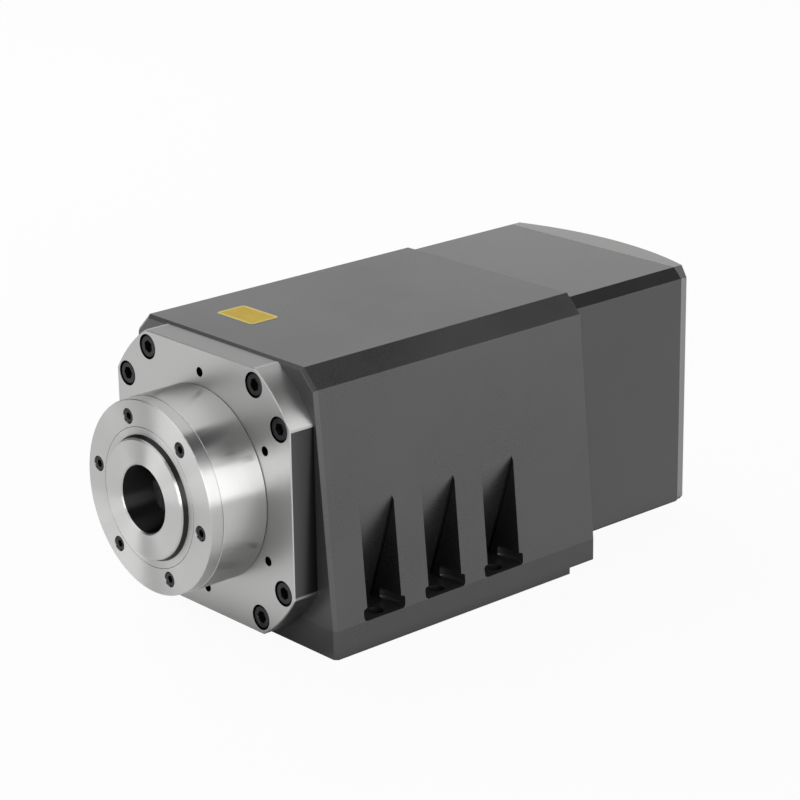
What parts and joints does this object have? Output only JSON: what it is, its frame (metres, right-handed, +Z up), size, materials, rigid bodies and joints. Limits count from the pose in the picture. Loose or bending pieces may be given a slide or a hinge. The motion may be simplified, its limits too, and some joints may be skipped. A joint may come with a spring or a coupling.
{
  "type": "motor spindle",
  "caption": "Block-shaped built-in motor spindle with a square front flange, a turned nose with a hollow taper bore, a bolted foot with pockets and a boxed rear end.",
  "frame": {"origin": "on the spindle axis, in the front face of the mounting flange", "axes": "+Y along the spindle axis towards the rear, so the tool bore faces -Y; +X to the right seen from the front; +Z up, away from the foot"},
  "size_m": [0.225, 0.4685, 0.2005],
  "materials": {
    "housing_paint": "grey fine-textured paint",
    "cap_paint": "light grey fine-textured paint",
    "turned_steel": "turned and ground",
    "black_oxide": "black oxide",
    "bearing_steel": "ground bearing steel",
    "cage_resin": "cloth-filled resin",
    "machined_steel": "machined steel",
    "lamination": "stacked sheet steel",
    "copper": "copper",
    "aluminium": "machined aluminium",
    "seal_rubber": "moulded rubber",
    "connector_shell": "nickel plated",
    "fitting_brass": "nickel-plated brass",
    "air_tube": "blue plastic tube",
    "lead_sheath": "black sheath",
    "sensor_body": "moulded plastic"
  },
  "bodies": {
    "housing": {"motor_housing": "housing_paint", "front_bearing_housing": "turned_steel", "flange_screws": "black_oxide", "nose_cover_ring": "turned_steel", "cover_screws": "black_oxide", "front_bearing_1_outer": "bearing_steel", "front_bearing_2_outer": "bearing_steel", "front_outer_spacer": "machined_steel", "cooling_jacket": "aluminium", "jacket_o_rings": "seal_rubber", "stator_core": "lamination", "stator_windings": "copper", "rear_bearing_shield": "machined_steel", "shield_screws": "black_oxide", "rear_bearing_outer": "bearing_steel", "rear_circlip": "machined_steel", "encoder_sensor": "sensor_body", "release_cylinder": "aluminium", "cylinder_cover": "aluminium", "cylinder_screws": "black_oxide", "rear_box": "housing_paint", "rear_box_screws": "black_oxide", "rear_cap": "cap_paint", "rear_cap_screws": "black_oxide", "power_connector": "connector_shell", "signal_connector": "connector_shell", "power_leads": "lead_sheath", "signal_lead": "lead_sheath", "coolant_fittings": "fitting_brass", "coolant_pipes": "machined_steel", "air_fittings": "fitting_brass", "air_pipes": "air_tube"},
    "spindle": {"spindle_shaft": "turned_steel", "labyrinth_ring": "turned_steel", "front_bearing_1_inner": "bearing_steel", "front_bearing_2_inner": "bearing_steel", "front_inner_spacer": "machined_steel", "front_lock_nut": "black_oxide", "rotor_core": "lamination", "rotor_end_rings": "copper", "rear_bearing_inner": "bearing_steel", "rear_lock_nut": "black_oxide", "encoder_wheel": "machined_steel", "gripper_carrier": "machined_steel", "disc_springs": "machined_steel"},
    "front_cages": {"front_bearing_cages": "cage_resin", "front_bearing_balls": "bearing_steel"},
    "rear_cage": {"rear_bearing_cage": "cage_resin", "rear_bearing_balls": "bearing_steel"},
    "drawbar": {"drawbar": "machined_steel", "drawbar_nut": "machined_steel"},
    "piston": {"release_piston": "aluminium", "piston_seal": "seal_rubber"},
    "jaw_1": {"gripper_jaw_1": "machined_steel"},
    "jaw_2": {"gripper_jaw_2": "machined_steel"},
    "jaw_3": {"gripper_jaw_3": "machined_steel"},
    "jaw_4": {"gripper_jaw_4": "machined_steel"},
    "jaw_5": {"gripper_jaw_5": "machined_steel"},
    "jaw_6": {"gripper_jaw_6": "machined_steel"}
  },
  "joints": [
    {"name": "spindle_spin", "type": "hinge", "parent": "housing", "child": "spindle", "pos_m": [0, 0, 0], "axis": [0, -1, 0], "continuous": true},
    {"name": "front_cages_spin", "type": "hinge", "parent": "housing", "child": "front_cages", "pos_m": [0, 0, 0], "axis": [0, -1, 0], "continuous": true},
    {"name": "rear_cage_spin", "type": "hinge", "parent": "housing", "child": "rear_cage", "pos_m": [0, 0.255, 0], "axis": [0, -1, 0], "continuous": true},
    {"name": "drawbar_slide", "type": "slide", "parent": "spindle", "child": "drawbar", "axis": [0, -1, 0], "range_m": [0, 0.01], "stiffness_N_per_m": 20000, "springref_m": -0.02, "deforming": ["disc_springs"]},
    {"name": "piston_slide", "type": "slide", "parent": "housing", "child": "piston", "axis": [0, -1, 0], "range_m": [0, 0.01]},
    {"name": "jaw_1_slide", "type": "slide", "parent": "spindle", "child": "jaw_1", "axis": [1, 0, 0], "range_m": [-0.002, 0]},
    {"name": "jaw_2_slide", "type": "slide", "parent": "spindle", "child": "jaw_2", "axis": [0.5, 0, 0.866], "range_m": [-0.002, 0]},
    {"name": "jaw_3_slide", "type": "slide", "parent": "spindle", "child": "jaw_3", "axis": [-0.5, 0, 0.866], "range_m": [-0.002, 0]},
    {"name": "jaw_4_slide", "type": "slide", "parent": "spindle", "child": "jaw_4", "axis": [-1, 0, 0], "range_m": [-0.002, 0]},
    {"name": "jaw_5_slide", "type": "slide", "parent": "spindle", "child": "jaw_5", "axis": [-0.5, 0, -0.866], "range_m": [-0.002, 0]},
    {"name": "jaw_6_slide", "type": "slide", "parent": "spindle", "child": "jaw_6", "axis": [0.5, 0, -0.866], "range_m": [-0.002, 0]}
  ],
  "couplings": [
    {"joint": "front_cages_spin", "follows": "spindle_spin", "ratio": 0.4356},
    {"joint": "rear_cage_spin", "follows": "spindle_spin", "ratio": 0.4267},
    {"joint": "piston_slide", "follows": "drawbar_slide", "ratio": 1},
    {"joint": "jaw_1_slide", "follows": "drawbar_slide", "ratio": -0.2},
    {"joint": "jaw_2_slide", "follows": "drawbar_slide", "ratio": -0.2},
    {"joint": "jaw_3_slide", "follows": "drawbar_slide", "ratio": -0.2},
    {"joint": "jaw_4_slide", "follows": "drawbar_slide", "ratio": -0.2},
    {"joint": "jaw_5_slide", "follows": "drawbar_slide", "ratio": -0.2},
    {"joint": "jaw_6_slide", "follows": "drawbar_slide", "ratio": -0.2}
  ]
}
